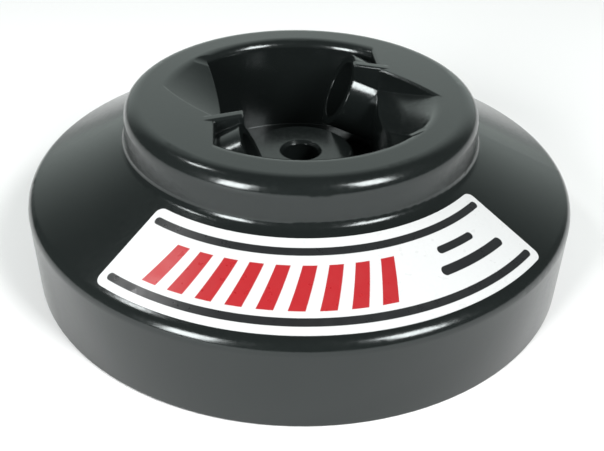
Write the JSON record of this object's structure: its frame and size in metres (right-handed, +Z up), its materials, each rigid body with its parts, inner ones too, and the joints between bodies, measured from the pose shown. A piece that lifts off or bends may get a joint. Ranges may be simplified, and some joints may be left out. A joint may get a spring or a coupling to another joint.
{
  "type": "fixed angle rotor",
  "caption": "Round black centrifuge rotor: a skirt, a labelled cone and a collar whose open well leads crossing tubes into inclined pockets under the cone.",
  "frame": {"origin": "centre of the base, where the spin axis meets the plane the rotor stands on", "axes": "+Z up along the spin axis; +X to the right and +Y to the back, with the label on the -Y side"},
  "size_m": [0.15, 0.15, 0.0495],
  "materials": {
    "rotor_shell": "glossy black moulding",
    "base_cover": "matt black sheet",
    "drive_hub": "turned",
    "screws": "plain steel",
    "cushion": "matt black rubber",
    "label": "white printed film"
  },
  "bodies": {
    "root": {"rotor_shell": "rotor_shell", "base_cover": "base_cover", "drive_hub": "drive_hub", "cover_screws": "screws", "hub_screws": "screws", "front_tube_cushion": "cushion", "rear_tube_cushion": "cushion", "label": "label"}
  },
  "joints": []
}
